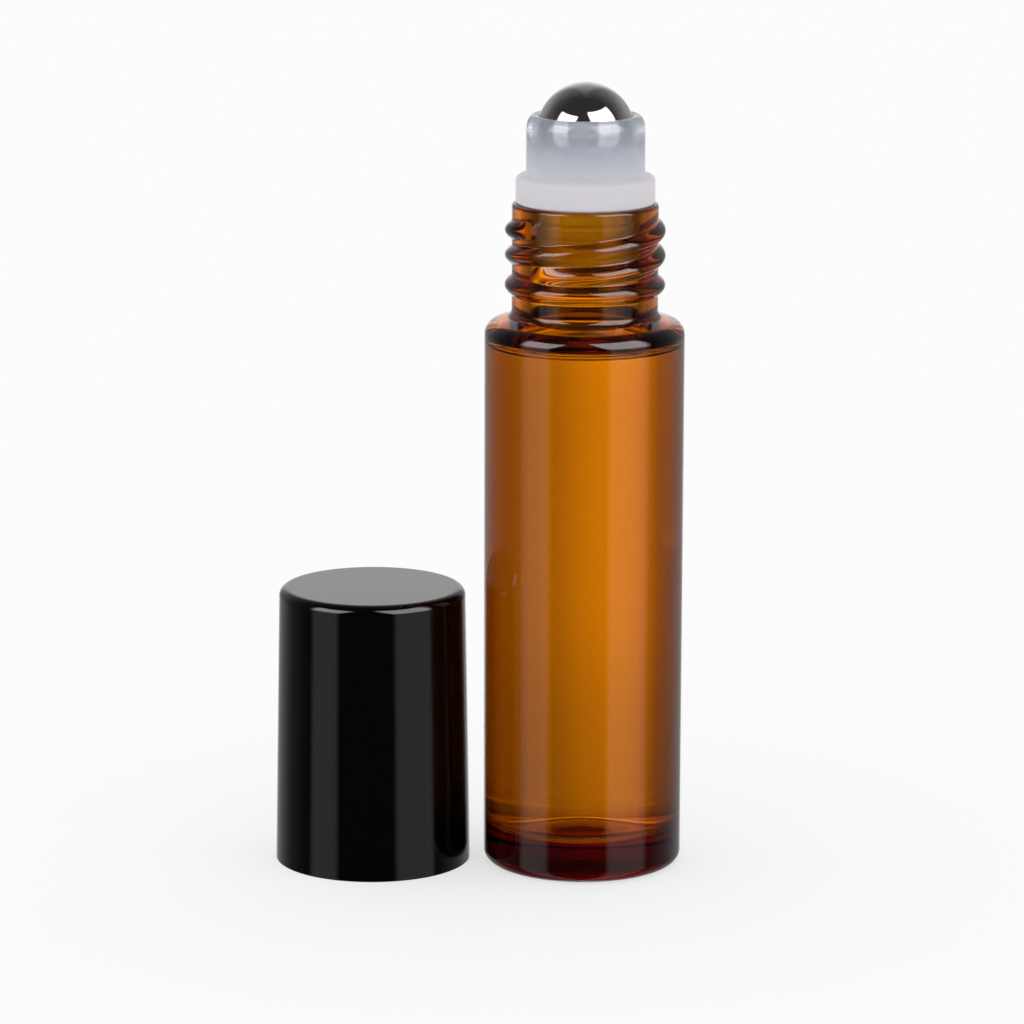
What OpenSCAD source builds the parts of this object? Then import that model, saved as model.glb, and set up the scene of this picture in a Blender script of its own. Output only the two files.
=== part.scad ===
// Roll-on bottle: glass bottle, pressed-in roller housing, steel ball and screw cap.
// Lengths in mm. Z is up, the bottle stands on Z = 0 with its axis on X = Y = 0,
// and the cap stands beside it towards -X, open end down.

/* [Glass bottle] */
// outside diameter of the body
bottle_d = 20; // [19:0.25:22]
// height of the glass, base to mouth
glass_h = 67.4; // [62:0.5:76]
// thickness of the body wall
wall_t = 1.5; // [1.2:0.1:1.8]
// thickness of the base at its centre, above the push-up
base_t = 4.2; // [3.4:0.2:5.4]
// height of the hollow under the base
push_up = 0.8; // [0.4:0.1:1.2]
// radius of the base corner
heel_r = 1.2; // [0.8:0.1:1.6]
// radius of the shoulder corner
shoulder_r = 1.5; // [1.1:0.1:1.8]
// slope of the shoulder, in degrees
shoulder_a = 20; // [14:1:26]

/* [Neck] */
// outside diameter of the neck between the ridges
neck_d = 14.6; // [14.4:0.05:14.9]
// height from the top of the shoulder to the mouth
neck_h = 11.2; // [10.8:0.1:12.4]
// diameter of the bore that takes the housing's plug
bore_d = 10.8; // [10.4:0.1:11.2]
// radius at the root of the neck
root_r = 0.8; // [0.6:0.05:1]
// radius of the mouth's outer edge
mouth_r = 0.4; // [0.25:0.05:0.5]

/* [Neck thread] */
// diameter over the thread and the bead
thread_d = 16; // [15.7:0.05:16.2]
// rise of the thread in one turn
thread_lead = 5; // [4.6:0.1:5.2]
// width of a ridge at its foot
ridge_w = 1.9; // [1.6:0.05:2]
// distance from the mouth down to the middle of the level bead
bead_drop = 8.2; // [8:0.05:8.4]
// distance from the mouth down to the lower end of each thread
thread_drop = 6.45; // [6.4:0.05:6.7]

/* [Roller housing] */
// diameter of the flange that rests on the mouth
flange_d = 13.85; // [13.4:0.05:14.3]
// height of the flange
flange_h = 2.75; // [2.5:0.05:3]
// how far the plug's sealing ribs press into the bore
rib_press = 0.05; // [0.02:0.01:0.08]
// diameter of the cup above the flange
cup_d = 11.8; // [11.5:0.05:12.2]
// how far the retaining lip reaches above the ball's centre
lip_rise = 1.5; // [1.3:0.05:1.7]
// length of the plug below the flange
plug_len = 6; // [5:0.25:7]
// wall of the plug
plug_t = 1.1; // [0.9:0.05:1.3]
// diameter of the feed hole under the ball
feed_d = 6.2; // [5.8:0.1:6.6]
// width of the three feed slots in the seat
slot_w = 0.6; // [0.4:0.05:0.9]
// running clearance between ball and seat
ball_gap = 0.05; // [0.03:0.01:0.08]

/* [Roller ball] */
// diameter of the ball
ball_d = 9.7; // [9.5:0.05:9.8]
// height of the ball's centre above the mouth
ball_rise = 7.15; // [7.05:0.05:7.35]

/* [Screw cap] */
// thickness of the wall at the open rim
cap_wall_t = 1.58; // [1.4:0.02:1.8]
// height of the cap
cap_h = 28.2; // [27.8:0.1:29.4]
// draft of the outer wall, in degrees
cap_draft = 1; // [0.6:0.1:1.2]
// radius of the top edge
cap_edge_r = 0.9; // [0.6:0.1:1.2]
// thickness of the top
cap_top_t = 1.6; // [1.3:0.1:1.9]
// clearance between the neck's ridges and the cap's inside wall
crest_gap = 0.3; // [0.2:0.02:0.36]
// clearance between the cap's ridges and the neck's wall
root_gap = 0.2; // [0.16:0.02:0.26]
// outside diameter of the ring that presses on the ball
seal_d = 7; // [6.6:0.1:7.4]
// wall of that ring
seal_t = 0.8; // [0.7:0.05:0.9]
// clear distance between cap and bottle as they stand
cap_gap = 1.36; // [1:0.02:3]
// how far the cap stands behind the bottle's axis
cap_back = 0.6; // [0:0.1:1.5]

/* [Hidden] */
// fineness of round surfaces
$fn = 96;
// steps in a quarter circle of a section
quarter_steps = 8;
// steps in one turn of a thread
turn_steps = 30;
// how deep a ridge is rooted in its wall
root_in = 0.3;
// clear height between the closed cap's rim and the shoulder
rim_clear = 0.3;
// play between two threads, and between cap and shoulder
play = 0.15;
// share of a ridge's foot that its crest takes
crest_share = 0.25;
// share of a ridge's height where its flank turns into the rounded crest
shoulder_share = 0.75;
// how much a ridge's flank spreads as it goes into its wall, as a share of the depth
flank_share = 0.8;
// how far a faded end dips under the wall, as a share of the ridge's height
sink_share = 0.3;
// run of each of the two neck threads, as a share of a turn
neck_run_share = 1.11;
// run of each of the cap's two threads, as a share of a turn
cap_run_share = 0.8;
// share of a turn over which a neck thread lifts off from level
lift_share = 0.28;
// share of a turn after which the cap's threads follow the neck's
cap_start_share = 0.42;
// share of a thread's run that its ends fade over
fade_share = 0.12;
// direction in which the first neck thread starts, in degrees
thread_a = 40;

bottle_r = bottle_d / 2;
neck_r = neck_d / 2;
bore_r = bore_d / 2;
thread_r = thread_d / 2;
shoulder_z = glass_h - neck_h;
inner_r = bottle_r - wall_t;
ball_r = ball_d / 2;
ball_z = glass_h + ball_rise;
seat_r = ball_r + ball_gap;
cap_bore_r = thread_r + crest_gap;
cap_r = cap_bore_r + cap_wall_t;
cap_x = -(bottle_r + cap_gap + cap_r);
// rim of the closed cap, above the shoulder
rim_z = shoulder_z + rim_clear;

// points of a circular arc, from angle a0 to angle a1
function arc(cx, cz, r, a0, a1, n = quarter_steps) =
    [for (i = [0 : n]) let (a = a0 + (a1 - a0) * i / n) [cx + r * cos(a), cz + r * sin(a)]];

// Threads
// height share of a ridge along its run: rises at one end, falls at the other
function fade(t) = min(1, t / fade_share, (1 - t) / fade_share);

// section of a ridge: foot rooted in the wall, sloping flanks, rounded crest
function ridge_section(r_foot, r_crest, w, k) =
    let (h = (r_crest - r_foot) * k, s = sign(r_crest - r_foot) * root_in,
         deep = w / 2 + root_in * flank_share)
    [[r_foot - s, -deep],
     [r_foot + h * shoulder_share, -w * (1 + crest_share) / 4],
     [r_foot + h, -w * crest_share / 2],
     [r_foot + h, w * crest_share / 2],
     [r_foot + h * shoulder_share, w * (1 + crest_share) / 4],
     [r_foot - s, deep]];

// rise of a thread after u turns, level at first and then steady
function rise(u, lift) = thread_lead * (u < lift ? u * u / (2 * lift) : u - lift / 2);

// a ridge swept along a helix; r_crest below r_foot makes an inner thread
module helix_ridge(r_foot, r_crest, w, z0, a0, turns, lift) {
    steps = ceil(turns * turn_steps);
    rows = [for (i = [0 : steps])
        let (t = i / steps, a = a0 + 360 * turns * t, z = z0 + rise(turns * t, lift),
             k = fade(t) * (1 + sink_share) - sink_share)
        [for (p = ridge_section(r_foot, r_crest, w, k)) [p[0] * cos(a), p[0] * sin(a), z + p[1]]]];
    m = len(rows[0]);
    sides = [for (i = [0 : steps - 1]) for (j = [0 : m - 1])
        let (a = i * m + j, b = i * m + (j + 1) % m, c = b + m, d = a + m)
        each [[a, b, c], [a, c, d]]];
    ends = concat([for (j = [1 : m - 2]) [0, j + 1, j]],
        [for (j = [1 : m - 2]) [steps * m, steps * m + j, steps * m + j + 1]]);
    flip = r_crest < r_foot;
    faces = concat(sides, ends);
    polyhedron(points = [for (row = rows) each row],
        faces = flip ? [for (f = faces) [f[0], f[2], f[1]]] : faces);
}

// Glass bottle
module glass_bottle() {
    shoulder_in_z = shoulder_z - wall_t;
    color("peru") {
        rotate_extrude() polygon(concat(
            [[0, push_up]],
            [[bottle_r - heel_r * 2.2, push_up * 0.8]],
            [[bottle_r - heel_r * 1.4, 0]],
            arc(bottle_r - heel_r, heel_r, heel_r, -90, 0),
            arc(bottle_r - shoulder_r,
                shoulder_corner_z(), shoulder_r, 0, 90 - shoulder_a),
            arc(neck_r + root_r, root_centre_z(), root_r, 270 - shoulder_a, 180),
            bead_points(),
            arc(neck_r - mouth_r, glass_h - mouth_r, mouth_r, 0, 90),
            [[bore_r, glass_h]],
            [[bore_r, shoulder_in_z]],
            [[inner_r - shoulder_r, shoulder_in_z - shoulder_r * 0.4]],
            arc(inner_r - shoulder_r,
                shoulder_in_z - shoulder_r * 1.4, shoulder_r, 90, 0),
            arc(inner_r - heel_r * 1.5, push_up + base_t + heel_r * 1.5, heel_r * 1.5, 0, -90),
            [[0, push_up + base_t]]
        ));
        for (k = [0, 1])
            helix_ridge(neck_r, thread_r, ridge_w, glass_h - thread_drop,
                thread_a + 180 * k, neck_run_share, lift_share);
    }
}

// the sloping shoulder runs from the neck's root down to the corner
function slope_z(r) = shoulder_z - (r - neck_r) * tan(shoulder_a);
function shoulder_corner_z() =
    slope_z(bottle_r - shoulder_r + shoulder_r * sin(shoulder_a)) - shoulder_r * cos(shoulder_a);
function root_centre_z() =
    slope_z(neck_r + root_r - root_r * sin(shoulder_a)) + root_r * cos(shoulder_a);

// the level bead below the thread, as a round-topped ring
function bead_points() =
    let (z = glass_h - bead_drop, s = ridge_section(neck_r, thread_r, ridge_w, 1))
    concat([[neck_r, z - ridge_w / 2]], [for (i = [1 : 4]) [s[i][0], z + s[i][1]]],
        [[neck_r, z + ridge_w / 2]]);

// Roller housing
module roller_housing() {
    lip_z = ball_z + lip_rise;
    lip_r = sqrt(seat_r * seat_r - lip_rise * lip_rise);
    cup_r = cup_d / 2;
    flange_r = flange_d / 2;
    feed_r = feed_d / 2;
    plug_r = bore_r - play / 2;
    inside_r = plug_r - plug_t;
    edge = flange_h * 0.18;
    lip_w = cup_r - lip_r;
    seat_a = acos(feed_r / seat_r);
    top_a = asin(lip_rise / seat_r);
    web_z = glass_h + flange_h * 0.3;
    seat_z = ball_z - sqrt(seat_r * seat_r - feed_r * feed_r);
    color("whitesmoke") difference() {
        rotate_extrude() polygon(concat(
            // plug with its tapered end and three sealing ribs
            [[inside_r, glass_h - plug_len]],
            [[plug_r - plug_t * 0.5, glass_h - plug_len]],
            [[plug_r, glass_h - plug_len * 0.85]],
            [for (f = [0.72, 0.5, 0.28]) let (z = glass_h - plug_len * f, w = plug_len * 0.055)
                each [[plug_r, z - w], [bore_r + rib_press, z - w * 0.2],
                      [bore_r + rib_press, z + w * 0.2], [plug_r, z + w]]],
            [[plug_r, glass_h]],
            // flange
            [[flange_r - edge * 0.5, glass_h]],
            [[flange_r, glass_h + edge * 0.5]],
            arc(flange_r - edge, glass_h + flange_h - edge, edge, 0, 90),
            // cup and its rounded lip
            [[cup_r, glass_h + flange_h]],
            [for (i = [0 : quarter_steps]) let (a = 90 * i / quarter_steps)
                [cup_r - lip_w * 0.6 * (1 - cos(a)), lip_z + lip_w * (1.15 * sin(a) - 1.05)]],
            // ball seat, down to the feed hole
            [for (i = [0 : 3 * quarter_steps])
                let (a = top_a - (top_a + seat_a) * i / (3 * quarter_steps))
                [seat_r * cos(a), ball_z + seat_r * sin(a)]],
            [[feed_r, web_z]],
            [[inside_r, web_z - plug_t]]
        ));
        // slots that let the liquid reach the ball round the feed hole
        for (k = [0 : 2]) rotate([0, 0, 120 * k + 90])
            translate([0, -slot_w / 2, seat_z - slot_w * 0.6])
                cube([feed_r * 1.3, slot_w, slot_w * 2.5]);
    }
}

// Roller ball
module roller_ball() {
    color("silver") translate([0, 0, ball_z]) sphere(r = ball_r);
}

// Screw cap, open end down
module screw_cap() {
    top_r = cap_r - cap_h * tan(cap_draft);
    ceiling_z = cap_h - cap_top_t;
    seal_r = seal_d / 2;
    // the ring just meets the ball when the rim is at its closed height
    seal_z = ball_z + sqrt(seat_r * seat_r - pow(seal_r - seal_t / 2, 2)) - rim_z;
    bore_top_r = cap_bore_r - play;
    // the closed cap's ridges run in the grooves, just under the neck's ridges
    below = thread_lead * 0.23;
    color("dimgray") translate([cap_x, cap_back, 0]) {
        rotate_extrude() polygon(concat(
            [[cap_bore_r + play * 2, 0]],
            [[cap_r - play, 0]],
            [[cap_r, play]],
            arc(top_r - cap_edge_r, cap_h - cap_edge_r, cap_edge_r, cap_draft, 90),
            [[0, cap_h]],
            [[0, ceiling_z]],
            [[seal_r - seal_t, ceiling_z]],
            [[seal_r - seal_t * 0.8, seal_z]],
            [[seal_r - seal_t * 0.2, seal_z]],
            [[seal_r, ceiling_z]],
            arc(bore_top_r - cap_edge_r, ceiling_z - cap_edge_r, cap_edge_r, 90, 0),
            [[cap_bore_r, play * 2]]
        ));
        for (k = [0, 1])
            helix_ridge(cap_bore_r, neck_r + root_gap, ridge_w * 0.65,
                glass_h - thread_drop - rim_z + rise(cap_start_share, lift_share) - below,
                thread_a + 360 * cap_start_share + 180 * k, cap_run_share, 0);
    }
}

glass_bottle();
roller_housing();
roller_ball();
screw_cap();
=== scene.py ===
import math

import bpy
import numpy as np
from mathutils import Matrix


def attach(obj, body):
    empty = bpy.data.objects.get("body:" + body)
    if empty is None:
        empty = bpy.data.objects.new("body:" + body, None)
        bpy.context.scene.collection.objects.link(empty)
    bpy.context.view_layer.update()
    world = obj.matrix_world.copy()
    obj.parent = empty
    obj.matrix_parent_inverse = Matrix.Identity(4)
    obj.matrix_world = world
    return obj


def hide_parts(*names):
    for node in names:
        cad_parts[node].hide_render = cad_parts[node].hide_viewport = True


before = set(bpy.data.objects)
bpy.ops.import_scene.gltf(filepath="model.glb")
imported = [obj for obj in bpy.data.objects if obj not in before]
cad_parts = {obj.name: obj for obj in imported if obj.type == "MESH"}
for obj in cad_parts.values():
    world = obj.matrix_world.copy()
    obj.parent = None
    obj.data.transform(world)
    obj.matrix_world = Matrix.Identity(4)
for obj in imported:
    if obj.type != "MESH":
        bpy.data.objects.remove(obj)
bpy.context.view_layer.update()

# Glass bottle.
# A moulded amber glass vial with a heavy base, a push-up ring to stand on and a threaded neck.
# The neck carries two thread ridges that each run about one turn, and a level bead under them.
MM = 0.001
BOTTLE_R, GLASS_H = 10.0, 67.4
HEEL_R, SHOULDER_R, SHOULDER_SLOPE = 1.2, 1.5, math.radians(20)
NECK_R, SHOULDER_Z, ROOT_R, MOUTH_R = 7.3, 56.2, 0.8, 0.4
# Inside: the bore, the shoulder, the wall, and a floor that domes up in the middle over the push-up.
WALL, BORE_R, INNER_SHOULDER_Z = 1.5, 5.4, 54.7
PUSH_UP, FLOOR_Z, FLOOR_DOME, DOME_R = 0.8, 3.7, 1.4, 6.5
# Thread and bead: crest, width at the foot, heights, then start angle, turns run and share that fades.
CREST_R, RIDGE_W, BEAD_Z = 8.0, 1.9, 59.2
THREAD_Z, THREAD_LEAD, THREAD_LIFT = 60.95, 5.0, 0.28
THREAD_START, THREAD_RUN, THREAD_FADE = math.radians(40), 1.06, 0.14
RIDGE_FILLET, RIDGE_CLEAR = 0.06, 0.3
NECK_FOOT, NECK_ROW = SHOULDER_Z + 0.75, 0.075


def rounded_line(corners, longest=2.0, arc_step=math.radians(6)):
    """Points (mm) along straight runs through the corners, each corner rounded by its own radius."""
    points = []
    for i, (x, z, radius) in enumerate(corners):
        here = np.array((x, z), float)
        if radius == 0 or i in (0, len(corners) - 1):
            points.append(here)
            continue
        before = np.array(corners[i - 1][:2], float) - here
        after = np.array(corners[i + 1][:2], float) - here
        u, v = before / np.linalg.norm(before), after / np.linalg.norm(after)
        half = 0.5 * math.acos(max(-1.0, min(1.0, float(u @ v))))
        middle = (u + v) / np.linalg.norm(u + v)
        centre = here + middle * radius / math.sin(half)
        turn = math.pi - 2 * half
        steps = max(3, math.ceil(turn / arc_step))
        side = -1.0 if middle[0] * u[1] - middle[1] * u[0] > 0 else 1.0
        for k in range(steps + 1):
            a = side * (0.5 - k / steps) * turn
            c, s = math.cos(a), math.sin(a)
            spoke = np.array((middle[0] * c - middle[1] * s, middle[0] * s + middle[1] * c))
            points.append(centre - radius * spoke)
    return holding_points(points, longest)


def holding_points(points, longest, near=0.06):
    """Adds points just inside long runs, so smooth shading stays flat along them."""
    out = [points[0]]
    for a, b in zip(points, points[1:]):
        length = float(np.linalg.norm(b - a))
        if length > 4 * near:
            out.append(a + (b - a) * near / length)
            parts = max(1, math.ceil((length - 2 * near) / longest))
            for k in range(1, parts):
                out.append(a + (b - a) * (near + (length - 2 * near) * k / parts) / length)
            out.append(a + (b - a) * (1 - near / length))
        out.append(b)
    return out


def turned(name, line, sides, centre=(0.0, 0.0), relief=None, loop=False):
    """A closed mesh turned from a line of (radius, height) in mm; relief adds to the radius of its rows."""
    line = np.array(line)
    angles = np.linspace(0, 2 * math.pi, sides, endpoint=False)
    open_rows = [i for i in range(len(line)) if line[i][0] > 1e-6]
    verts, faces = [], []
    for i in open_rows:
        r, z = line[i]
        radii = np.full(sides, r) if relief is None else r + relief(r, z, angles)
        for radius, a in zip(radii * MM, angles):
            verts.append((radius * math.cos(a) + centre[0], radius * math.sin(a) + centre[1], z * MM))
    rows = len(open_rows)
    pairs = [(i, i + 1) for i in range(rows - 1)] + ([(rows - 1, 0)] if loop else [])
    for i, j in pairs:
        for k in range(sides):
            m = (k + 1) % sides
            faces.append((i * sides + k, i * sides + m, j * sides + m, j * sides + k))
    if not loop:
        first, last = len(verts), len(verts) + 1
        verts += [(centre[0], centre[1], line[0][1] * MM), (centre[0], centre[1], line[-1][1] * MM)]
        top = (rows - 1) * sides
        for k in range(sides):
            m = (k + 1) % sides
            faces += [(first, m, k), (last, top + k, top + m)]
    mesh = bpy.data.meshes.new(name)
    mesh.from_pydata(verts, [], faces)
    mesh.update()
    made = bpy.data.objects.new(name, mesh)
    bpy.context.scene.collection.objects.link(made)
    for poly in mesh.polygons:
        poly.use_smooth = True
    if signed_volume(mesh) < 0:
        mesh.flip_normals()
    return made


def signed_volume(mesh):
    """Six times the volume that the mesh closes in, below zero where its faces point inwards."""
    mesh.calc_loop_triangles()
    xyz = np.empty(len(mesh.vertices) * 3)
    mesh.vertices.foreach_get("co", xyz)
    xyz = xyz.reshape(-1, 3)
    tri = np.empty(len(mesh.loop_triangles) * 3, dtype=np.int32)
    mesh.loop_triangles.foreach_get("vertices", tri)
    a, b, c = (xyz[tri.reshape(-1, 3)[:, k]] for k in range(3))
    return float(np.einsum("ij,ij->i", a, np.cross(b, c)).sum())


def ridge(offset, width):
    """Height share of a rounded ridge across its width, with a small fillet at each foot."""
    u = 2 * offset / width
    rise = 1 - u * u
    return 0.5 * (rise + np.sqrt(rise * rise + RIDGE_FILLET**2))


def lifted(turns, lift):
    """Rise of a thread in leads after so many turns: it bends up over lift turns, then climbs steadily."""
    return np.where(turns < lift, turns * turns / (2 * lift), turns - lift / 2)


def neck_relief(r, z, angles):
    """Thread ridges and bead, as a rise of the neck's outer wall."""
    if abs(r - NECK_R) > 0.02 or z < SHOULDER_Z:
        return 0.0 * angles
    height = ridge(np.full_like(angles, z - BEAD_Z), RIDGE_W)
    for start in (THREAD_START, THREAD_START + math.pi):
        for lap in (0, 1):
            turns = ((angles - start) % (2 * math.pi)) / (2 * math.pi) + lap
            along = turns / THREAD_RUN
            fade = np.clip(np.minimum(along, 1 - along) / THREAD_FADE, 0, 1)
            fade = fade * fade * (3 - 2 * fade)
            middle = THREAD_Z + THREAD_LEAD * lifted(turns, THREAD_LIFT)
            height = np.maximum(height, ridge(z - middle, RIDGE_W) * fade)
    under_mouth = np.clip((GLASS_H - MOUTH_R - z) / RIDGE_CLEAR, 0, 1)
    over_foot = np.clip((z - NECK_FOOT - 0.15) / RIDGE_CLEAR, 0, 1)
    return (CREST_R - NECK_R) * height * under_mouth * over_foot


def inner_floor(drop):
    """The domed inner floor from its rim to its middle, set lower by drop."""
    radii = np.linspace(DOME_R, 0, 14)
    return [(r, FLOOR_Z - drop + FLOOR_DOME * (1 - (r / DOME_R) ** 2) ** 2, 0) for r in radii]


# Up the outside from the middle of the push-up, then the neck in close rows that carry the threads.
shoulder_drop = (BOTTLE_R - NECK_R) * math.tan(SHOULDER_SLOPE)
bottle_line = rounded_line([
    (0, PUSH_UP, 0),
    (BOTTLE_R - 2.2 * HEEL_R, 0.8 * PUSH_UP, 0.8),
    (BOTTLE_R - 1.4 * HEEL_R, 0, 0.25),
    (BOTTLE_R, 0, HEEL_R),
    (BOTTLE_R, SHOULDER_Z - shoulder_drop, SHOULDER_R),
    (NECK_R, SHOULDER_Z, ROOT_R),
    (NECK_R, GLASS_H - MOUTH_R - 0.05, 0),
])
bottle_line = [p for p in bottle_line if p[0] > NECK_R + 1e-6 or p[1] <= NECK_FOOT - 0.01]
for z in np.arange(NECK_FOOT, GLASS_H - MOUTH_R - 0.04, NECK_ROW):
    bottle_line.append(np.array((NECK_R, z)))
# Over the mouth and down the inside to the middle of the floor.
bottle_line += rounded_line([
    (NECK_R, GLASS_H - MOUTH_R - 0.02, 0),
    (NECK_R, GLASS_H, MOUTH_R - 0.03),
    (BORE_R, GLASS_H, 0.3),
    (BORE_R, INNER_SHOULDER_Z, 1.0),
    (BOTTLE_R - WALL, INNER_SHOULDER_Z - 1.0, 0.9),
    (BOTTLE_R - WALL, FLOOR_Z, 1.5),
    *inner_floor(0),
])
bottle = turned("glass_bottle_skin", bottle_line, sides=256, relief=neck_relief)


def linear(hex_colour):
    """sRGB hex to the linear colour that the shader wants."""
    value = int(hex_colour.lstrip("#"), 16)
    parts = [(value >> shift & 255) / 255 for shift in (16, 8, 0)]
    return tuple(p / 12.92 if p <= 0.04045 else ((p + 0.055) / 1.055) ** 2.4 for p in parts) + (1.0,)


def node(tree, kind, settings=None, **sockets):
    """Adds a node. Sockets go by name or, as i0, by number, and take a value, an output or a whole node."""
    made = tree.nodes.new(kind)
    for key, value in (settings or {}).items():
        setattr(made, key, value)
    for key, value in sockets.items():
        numbered = key[0] == "i" and key[1:].isdigit()
        socket = made.inputs[int(key[1:]) if numbered else key.replace("_", " ")]
        source = value.outputs[0] if isinstance(value, bpy.types.Node) else value
        if isinstance(source, bpy.types.NodeSocket):
            tree.links.new(source, socket)
        else:
            socket.default_value = source
    return made


def new_material(name):
    material = bpy.data.materials.new(name)
    material.use_nodes = True
    material.node_tree.nodes.clear()
    return material, material.node_tree


TIMES, PLUS, COLOURS = {"operation": "MULTIPLY"}, {"operation": "ADD"}, {"data_type": "RGBA"}


def curve(tree, value, stops):
    """A number up to 2 that follows value along straight lines between stops of (value, number)."""
    low, high = stops[0][0], stops[-1][0]
    along = node(tree, "ShaderNodeMapRange", Value=value, From_Min=low, From_Max=high)
    halved = node(tree, "ShaderNodeValToRGB", Fac=along)
    ramp = halved.color_ramp
    while len(ramp.elements) < len(stops):
        ramp.elements.new(0.5)
    for element, (at, number) in zip(ramp.elements, stops):
        element.position = (at - low) / (high - low)
        element.color = (number / 2, number / 2, number / 2, 1)
    return node(tree, "ShaderNodeMath", TIMES, i0=halved, i1=2.0)


def height_in(tree):
    """Height on the piece in metres, the same from any side."""
    place = node(tree, "ShaderNodeTexCoord")
    return node(tree, "ShaderNodeSeparateXYZ", i0=place.outputs["Object"]).outputs["Z"]


# Amber soda-lime glass, moulded, so its skin is clear and sharp. It colours the light by its thickness:
# the walls glow orange and the heavy base goes dark. The body has a slight warm skin tint, the neck none.
amber, tree = new_material("amber_soda_lime_glass")
in_neck = curve(tree, height_in(tree), [((SHOULDER_Z - 1) * MM, 0), ((SHOULDER_Z + 1) * MM, 1)])
warm, plain = linear("#FBE9C8"), linear("#FFFFFF")
skin_tint = node(tree, "ShaderNodeMix", COLOURS, Factor=in_neck, i6=warm, i7=plain).outputs[2]
glass = node(tree, "ShaderNodeBsdfPrincipled", Base_Color=skin_tint, Roughness=0.0, IOR=1.52,
             Transmission_Weight=1.0)
tint = node(tree, "ShaderNodeVolumeAbsorption", Color=linear("#F6E500"), Density=2000.0)
node(tree, "ShaderNodeOutputMaterial", Surface=glass, Volume=tint)
bottle.data.materials.append(amber)
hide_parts("glass_bottle")
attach(bottle, "bottle")

# Liquid.
# A clear oil that fills the bottle up to just under the shoulder, with a small meniscus at the wall.
# It laps a hair into the glass, so that no film of air shows between the two.
LIQUID_TOP, MENISCUS_H, MENISCUS_W, LAP = 53.0, 0.35, 0.6, 0.02
liquid_r = BOTTLE_R - WALL + LAP
liquid_line = rounded_line([
    *reversed(inner_floor(LAP)),
    (liquid_r, FLOOR_Z - LAP, 1.5),
    (liquid_r, LIQUID_TOP + MENISCUS_H, 0.02),
    (liquid_r - 0.2 * MENISCUS_W, LIQUID_TOP + 0.12, 0.1),
    (liquid_r - MENISCUS_W, LIQUID_TOP, 0.5),
    (0, LIQUID_TOP, 0),
])
liquid = turned("liquid_fill", liquid_line, sides=192)

# Clear carrier oil, faintly straw, bends the light almost as glass does. The bottle glows evenly up to
# its level, and a thin bright line marks the meniscus.
oil, tree = new_material("clear_carrier_oil")
body = node(tree, "ShaderNodeBsdfPrincipled", Base_Color=linear("#FFF6DE"), Roughness=0.0, IOR=1.46,
            Transmission_Weight=1.0)
node(tree, "ShaderNodeOutputMaterial", Surface=body)
liquid.data.materials.append(oil)
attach(liquid, "bottle")

# Roller housing.
# One moulding of natural polyethylene: a ribbed plug pressed into the neck, a flange on the mouth
# and a cup. The cup's springy lip gives way when the ball is pushed in, and then holds it.
FLANGE_R, FLANGE_Z, CUP_R = 6.925, 70.15, 5.9
BALL_R, BALL_Z, BALL_GAP, LIP_RISE = 4.85, 74.55, 0.05, 1.5
PLUG_R, PLUG_IN_R, PLUG_LEN, FEED_R, WEB_Z = 5.325, 4.225, 6.0, 3.1, 68.225
RIB_R, RIB_FOOT, RIB_FLAT = BORE_R - 0.01, 0.33, 0.07
plug_z = GLASS_H - PLUG_LEN
seat_r = BALL_R + BALL_GAP
lip_r = math.sqrt(seat_r**2 - LIP_RISE**2)
lip_z, lip_w = BALL_Z + LIP_RISE, CUP_R - lip_r

# Three sealing ribs up the plug, the lip's rounded crown, and the ball's seat down to the feed hole.
ribs = []
for share in (0.72, 0.5, 0.28):
    z = GLASS_H - PLUG_LEN * share
    for r, offset in ((PLUG_R, -RIB_FOOT), (RIB_R, -RIB_FLAT), (RIB_R, RIB_FLAT), (PLUG_R, RIB_FOOT)):
        ribs.append((r, z + offset, 0.05))
crown = []
for a in np.linspace(0, math.pi / 2, 25):
    crown.append((CUP_R - 0.6 * lip_w * (1 - math.cos(a)), lip_z + lip_w * (1.15 * math.sin(a) - 1.05), 0))
seat = []
for a in np.linspace(math.asin(LIP_RISE / seat_r), -math.acos(FEED_R / seat_r), 41):
    seat.append((seat_r * math.cos(a), BALL_Z + seat_r * math.sin(a), 0))
housing_line = rounded_line([
    (PLUG_IN_R, plug_z, 0.1),
    (PLUG_R - 0.55, plug_z, 0.15),
    (PLUG_R, plug_z + 0.9, 0.3),
    *ribs,
    (PLUG_R, GLASS_H, 0.05),
    (FLANGE_R, GLASS_H, 0.25),
    (FLANGE_R, FLANGE_Z, 0.5),
    (CUP_R, FLANGE_Z, 0.2),
    *crown,
    *seat,
    (FEED_R, WEB_Z, 0),
    (PLUG_IN_R, WEB_Z - 1.1, 0.3),
    (PLUG_IN_R, plug_z + 0.2, 0),
], longest=1.0)
housing = turned("roller_housing_skin", housing_line, sides=192, loop=True)

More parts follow.
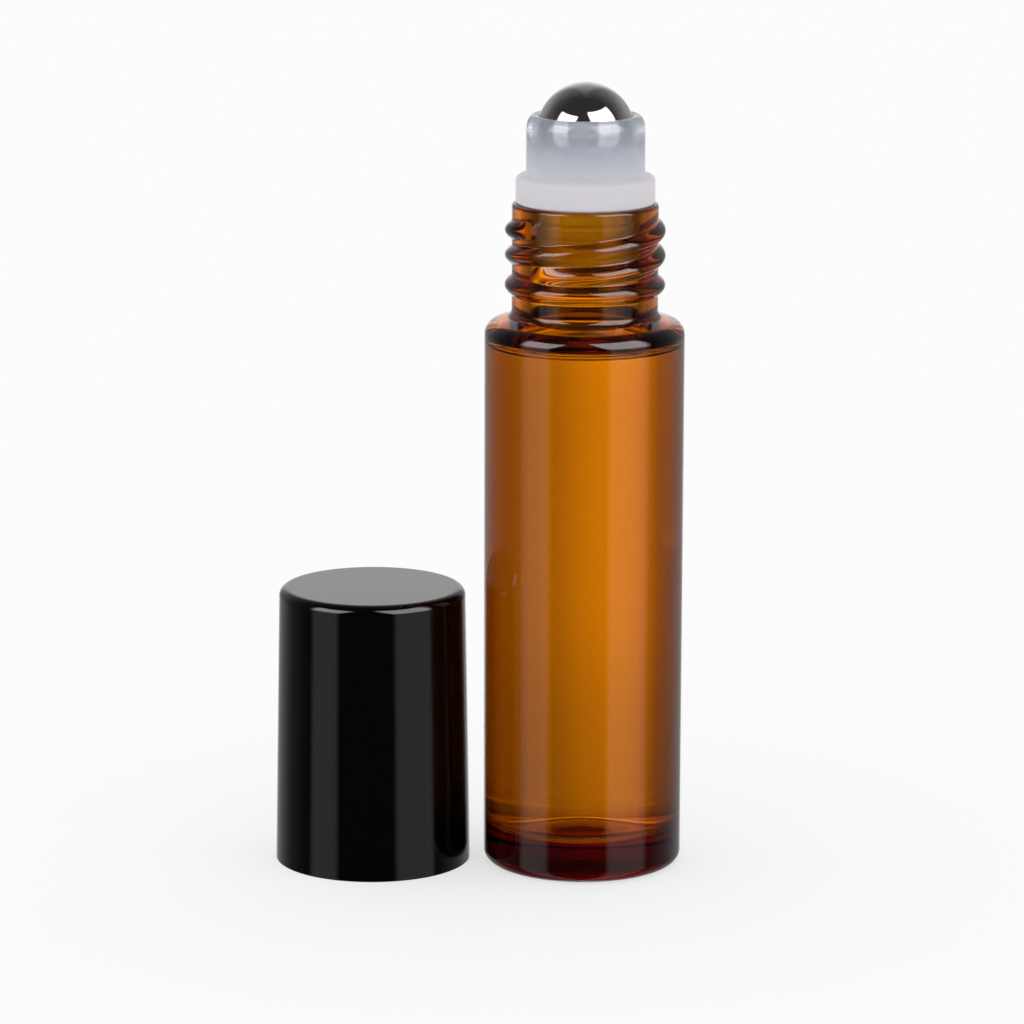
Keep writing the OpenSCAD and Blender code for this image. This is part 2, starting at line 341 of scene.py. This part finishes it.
# Natural polyethylene, moulded glossy, is clear under a milky haze. The haze grows with the wall:
# the flange is near white, the thin cup is bluish and lets the ball show, and the plug is only frosted.
milky, tree = new_material("natural_polyethylene")
up = height_in(tree)
thin_wall = curve(tree, up, [((FLANGE_Z - 0.3) * MM, 0), ((BALL_Z - 2.4) * MM, 1)])
near_white, bluish = linear("#F2EFF4"), linear("#E9EEF9")
haze = node(tree, "ShaderNodeMix", COLOURS, Factor=thin_wall, i6=near_white, i7=bluish).outputs[2]
milk = node(tree, "ShaderNodeBsdfDiffuse", Color=haze)
glow_through = node(tree, "ShaderNodeBsdfTranslucent", Color=haze)
cloud = node(tree, "ShaderNodeMixShader", i0=0.2, i1=milk, i2=glow_through)
veil = curve(tree, up, [
    ((GLASS_H - 0.1) * MM, 0.05),
    (GLASS_H * MM, 0.85),
    ((FLANGE_Z - 0.3) * MM, 0.85),
    ((FLANGE_Z + 0.6) * MM, 0.74),
    ((BALL_Z - 2.4) * MM, 0.6),
    ((BALL_Z - 0.8) * MM, 0.36),
    ((BALL_Z + 1) * MM, 0.24),
])
frost = curve(tree, up, [((GLASS_H - 0.1) * MM, 0.4), (GLASS_H * MM, 0.04)])
clear = node(tree, "ShaderNodeBsdfPrincipled", Base_Color=linear("#F4F8FF"), Roughness=frost, IOR=1.51,
             Transmission_Weight=1.0)
pe = node(tree, "ShaderNodeMixShader", i0=veil, i1=clear, i2=cloud)
node(tree, "ShaderNodeOutputMaterial", Surface=pe)
housing.data.materials.append(milky)
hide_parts("roller_housing")
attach(housing, "bottle")

# Roller ball.
# A solid stainless steel ball, ground and lapped to a mirror. It is pushed past the housing's lip and
# turns freely in its seat, where it picks up the oil. Its line runs from the lowest point to the top.
half_turn = np.linspace(-math.pi / 2, math.pi / 2, 97)
ball_line = [(BALL_R * math.cos(a), BALL_Z + BALL_R * math.sin(a)) for a in half_turn]
ball_line[0], ball_line[-1] = (0.0, BALL_Z - BALL_R), (0.0, BALL_Z + BALL_R)
ball = turned("roller_ball_skin", ball_line, sides=128)

# Polished stainless steel mirrors the lamps sharply. Lapping leaves patches about 1 mm across in which
# the mirror is a trace softer.
steel, tree = new_material("polished_stainless_steel")
place = node(tree, "ShaderNodeTexCoord")
lapping = node(tree, "ShaderNodeTexNoise", Vector=place.outputs["Object"], Scale=1 / (1.0 * MM), Detail=3.0)
polish = node(tree, "ShaderNodeMapRange", Value=lapping, To_Min=0.035, To_Max=0.065)
metal = node(tree, "ShaderNodeBsdfPrincipled", Base_Color=linear("#CBC8C5"), Metallic=1.0, Roughness=polish)
node(tree, "ShaderNodeOutputMaterial", Surface=metal)
ball.data.materials.append(steel)
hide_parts("roller_ball")
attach(ball, "ball")

# Screw cap.
# An injection-moulded black polypropylene cap with a slight draft, off the bottle and standing on its
# open rim. Inside are the two-start thread and the ring that presses on the ball when it is closed.
CAP_R, CAP_H, CAP_TOP_R, CAP_EDGE = 9.88, 28.2, 9.388, 0.9
CAP_BORE, CAP_DRAFT, CAP_CEILING = 8.3, 0.15, 26.6
SEAL_R, SEAL_T, SEAL_Z, SEAL_DRAFT = 3.5, 0.8, 21.7, 0.16
CAP_AT = (-21.24 * MM, 0.6 * MM)
CAP_CREST_R, CAP_RIDGE_W, CAP_THREAD_Z = 7.5, 1.235, 4.7
CAP_THREAD_START, CAP_THREAD_RUN = math.radians(191.2), 0.8


def cap_relief(r, z, angles):
    """The cap's two thread ridges, as a dip in the radius of its inner wall."""
    height = np.zeros_like(angles)
    if not CAP_BORE - CAP_DRAFT - 0.01 < r < CAP_BORE + 0.01:
        return height
    for start in (CAP_THREAD_START, CAP_THREAD_START + math.pi):
        turns = ((angles - start) % (2 * math.pi)) / (2 * math.pi)
        along = turns / CAP_THREAD_RUN
        fade = np.clip(np.minimum(along, 1 - along) / THREAD_FADE, 0, 1)
        height = np.maximum(height, ridge(z - CAP_THREAD_Z - THREAD_LEAD * turns, CAP_RIDGE_W) * fade)
    return (CAP_CREST_R - r) * height


# From the middle of the top down the outside and up the inside, in close rows where the thread is.
cap_line = rounded_line([
    (0, CAP_H, 0),
    (CAP_TOP_R, CAP_H, CAP_EDGE),
    (CAP_R, 0, 0.15),
    (CAP_BORE + 0.3, 0, 0.1),
    (CAP_BORE, 0.3, 0.1),
    *[(CAP_BORE - CAP_DRAFT * z / CAP_CEILING, z, 0) for z in np.arange(3.9, 9.6, 0.1)],
    (CAP_BORE - CAP_DRAFT, CAP_CEILING, 0.9),
    (SEAL_R, CAP_CEILING, 0.2),
    (SEAL_R - SEAL_DRAFT, SEAL_Z, 0.15),
    (SEAL_R - SEAL_T + SEAL_DRAFT, SEAL_Z, 0.15),
    (SEAL_R - SEAL_T, CAP_CEILING, 0.2),
    (0, CAP_CEILING, 0),
])
cap = turned("screw_cap_skin", cap_line, sides=256, centre=CAP_AT, relief=cap_relief)

# Moulded black polypropylene shines softly. Its skin waves by microns over about 3 mm, so that the
# lamps' edges sway a little in it.
black, tree = new_material("black_gloss_polypropylene")
place = node(tree, "ShaderNodeTexCoord")
waves = node(tree, "ShaderNodeTexNoise", Vector=place.outputs["Object"], Scale=1 / (3.0 * MM), Detail=2.0)
skin = node(tree, "ShaderNodeBump", Height=waves, Distance=0.008 * MM, Strength=1.0)
gloss = node(tree, "ShaderNodeMapRange", Value=waves, To_Min=0.06, To_Max=0.1)
plastic = node(tree, "ShaderNodeBsdfPrincipled", Base_Color=linear("#020203"), Roughness=gloss, IOR=1.49,
               Normal=skin)
node(tree, "ShaderNodeOutputMaterial", Surface=plastic)
cap.data.materials.append(black)
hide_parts("screw_cap")
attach(cap, "cap")

# Studio.
# A pale floor in an even white room, with two tall soft lamps in front, one left and one right.
# The lamps and the lit wall behind show only in gloss and through glass. The plain light is even.
WHITE, WHITE_SEEN, PLAIN_SHARE = (1, 1, 1, 1), 0.985, 0.65
bpy.ops.mesh.primitive_plane_add(size=8)
floor = bpy.context.object
floor.name = "studio_floor"

# Matt white paper. To the camera about two thirds of it is plain white, so that the shadow stays soft.
paper, tree = new_material("matt_white_paper")
lit = node(tree, "ShaderNodeBsdfDiffuse", Color=linear("#FAFAFA"))
glow = node(tree, "ShaderNodeEmission", Color=WHITE, Strength=WHITE_SEEN)
ray = node(tree, "ShaderNodeLightPath")
seen = node(tree, "ShaderNodeMath", TIMES, i0=ray.outputs["Is Camera Ray"], i1=PLAIN_SHARE)
mixed = node(tree, "ShaderNodeMixShader", i0=seen, i1=lit, i2=glow)
node(tree, "ShaderNodeOutputMaterial", Surface=mixed)
floor.data.materials.append(paper)
floor.visible_glossy = False
floor.visible_transmission = False

world = bpy.data.worlds.new("studio_surround")
bpy.context.scene.world = world
world.use_nodes = True
tree = world.node_tree
tree.nodes.clear()
ray = node(tree, "ShaderNodeLightPath")
where = node(tree, "ShaderNodeTexCoord")
split = node(tree, "ShaderNodeSeparateXYZ", i0=where.outputs["Generated"])
right, away, height = split.outputs["X"], split.outputs["Y"], split.outputs["Z"]

# Directions from the object. The front angle in degrees is 0 towards the camera, the back angle is 0
# away from it, and both grow to the right. Height is the sine of the angle above level, from -1 to 1.
towards = node(tree, "ShaderNodeMath", TIMES, i0=away, i1=-1.0)
angles = []
for ahead in (towards, away):
    turn = node(tree, "ShaderNodeMath", {"operation": "ARCTAN2"}, i0=right, i1=ahead)
    angles.append(node(tree, "ShaderNodeMath", TIMES, i0=turn, i1=180 / math.pi))
front_angle, back_angle = angles

# How softly a lamp ends at its inner and outer edge, in degrees, and at its top, in height.
INNER_SOFT, OUTER_SOFT, TOP_SOFT, LAMP_POWER = 4, 5, 0.03, 2.5


def softbox(side, inner, outer, slant, top):
    """A tall lamp between two front angles; its inner edge leans towards the middle as it rises."""
    angle = node(tree, "ShaderNodeMath", TIMES, i0=front_angle, i1=side)
    rise = node(tree, "ShaderNodeMath", {"operation": "MAXIMUM"}, i0=height, i1=0.0)
    lean = node(tree, "ShaderNodeMath", TIMES, i0=rise, i1=slant)
    leaning = node(tree, "ShaderNodeMath", PLUS, i0=angle, i1=lean)
    edges = (
        (leaning, inner, INNER_SOFT, 0, 1),
        (angle, outer, OUTER_SOFT, 1, 0),
        (height, top, TOP_SOFT, 1, 0),
    )
    lamp = 1.0
    for value, edge, soft, before, after in edges:
        end = node(tree, "ShaderNodeMapRange", {"interpolation_type": "SMOOTHSTEP"}, Value=value,
                   From_Min=edge - soft, From_Max=edge + soft, To_Min=before, To_Max=after)
        lamp = node(tree, "ShaderNodeMath", TIMES, i0=lamp, i1=end)
    return lamp


# What gloss shows: the two lamps, dim below level, the wall behind, which is brightest in its middle
# and fades upwards, and an almost dark room.
left_lamp, right_lamp = softbox(-1, 42, 77, 27, 0.63), softbox(1, 29, 78, 30, 0.77)
lamps = node(tree, "ShaderNodeMath", PLUS, i0=left_lamp, i1=right_lamp)
lamp_glow = curve(tree, height, [(-1, 0.2), (-0.05, 0.2), (0.04, 0.8), (0.12, 2.0), (1, 2.0)])
lamp_light = node(tree, "ShaderNodeMath", TIMES, i0=lamp_glow, i1=LAMP_POWER)
lamp_light = node(tree, "ShaderNodeMath", TIMES, i0=lamps, i1=lamp_light)
wall_across = curve(tree, back_angle, [
    (-180, 0), (-100, 0), (-66, 0.1), (-46, 0.3), (-22, 0.42), (-10, 0.95),
    (10, 0.95), (22, 0.42), (46, 0.36), (66, 0.2), (100, 0), (180, 0),
])
wall_up = curve(tree, height, [(-1, 1), (0.3, 1), (0.69, 0.4), (0.88, 0.22), (1, 0.05)])
wall = node(tree, "ShaderNodeMath", TIMES, i0=wall_across, i1=wall_up)
room = curve(tree, height, [(-1, 0.03), (-0.1, 0.03), (0, 0.015), (0.3, 0.04), (1, 0.04)])
seen_glossy = node(tree, "ShaderNodeMath", PLUS, i0=lamp_light, i1=wall)
seen_glossy = node(tree, "ShaderNodeMath", PLUS, i0=seen_glossy, i1=room)

# What shows through glass, oil and plastic: the same wall, brightest about level, the table close by,
# and the lamps.
wall_across = curve(tree, back_angle, [
    (-180, 0.4), (-150, 0.35), (-120, 0.1), (-70, 0.05), (-44, 0.42), (-33, 0.6), (-24, 1.12),
    (-16, 1.28), (-9, 1.28), (0, 1.08), (4, 0.95), (9, 0.78), (25, 0.56), (34, 0.42), (46, 0.4),
    (70, 0.05), (120, 0.1), (150, 0.35), (180, 0.4),
])
wall_up = curve(tree, height, [
    (-1, 0.5), (-0.275, 0.6), (-0.25, 0.76), (-0.232, 0.97), (-0.218, 1), (-0.19, 1), (-0.12, 1.9),
    (0.15, 1.9), (0.24, 0.75), (0.3, 0.65), (0.35, 0.2), (0.4, 0.2), (0.55, 1.1), (1, 1.1),
])
wall = node(tree, "ShaderNodeMath", TIMES, i0=wall_across, i1=wall_up)
table = curve(tree, height, [(-1, 0.9), (-0.76, 0.8), (-0.66, 0), (1, 0)])
lamps_up = curve(tree, height, [
    (-1, 0), (-0.75, 0), (-0.64, 1.9), (-0.4, 1.9), (-0.28, 1.2), (-0.16, 1.2), (-0.06, 1.9), (1, 2),
])
lamps_through = node(tree, "ShaderNodeMath", TIMES, i0=lamps, i1=lamps_up)
seen_through = node(tree, "ShaderNodeMath", PLUS, i0=wall, i1=table)
seen_through = node(tree, "ShaderNodeMath", PLUS, i0=seen_through, i1=lamps_through)

# Plain light is an even white. Gloss, glass and the camera each get their own view of the room.
shown = node(tree, "ShaderNodeBackground", Color=WHITE, Strength=1.0)
for kind, strength in (
    ("Is Glossy Ray", seen_glossy),
    ("Is Transmission Ray", seen_through),
    ("Is Camera Ray", WHITE_SEEN),
):
    own = node(tree, "ShaderNodeBackground", Color=WHITE, Strength=strength)
    shown = node(tree, "ShaderNodeMixShader", i0=ray.outputs[kind], i1=shown, i2=own)
node(tree, "ShaderNodeOutputWorld", Surface=shown)

# The camera stands half a metre away and looks down by about 12 degrees.
SENSOR_W, FOCAL_PX, PICTURE_PX = 36, 5097, 1024
CAMERA_AT = (-7.186 * MM, -500 * MM, 144.6 * MM)
CAMERA_DOWN, CAMERA_ROLL = 0.2139, 0.0028
camera_data = bpy.data.cameras.new("camera")
camera_data.sensor_width = SENSOR_W
camera_data.lens = FOCAL_PX / PICTURE_PX * SENSOR_W
camera_data.clip_start, camera_data.clip_end = 0.01, 20
camera_object = bpy.data.objects.new("camera", camera_data)
bpy.context.scene.collection.objects.link(camera_object)
camera_object.matrix_world = (
    Matrix.Translation(CAMERA_AT)
    @ Matrix.Rotation(math.pi / 2 - CAMERA_DOWN, 4, "X")
    @ Matrix.Rotation(CAMERA_ROLL, 4, "Z")
)
bpy.context.scene.camera = camera_object
bpy.context.scene.view_settings.view_transform = "Standard"
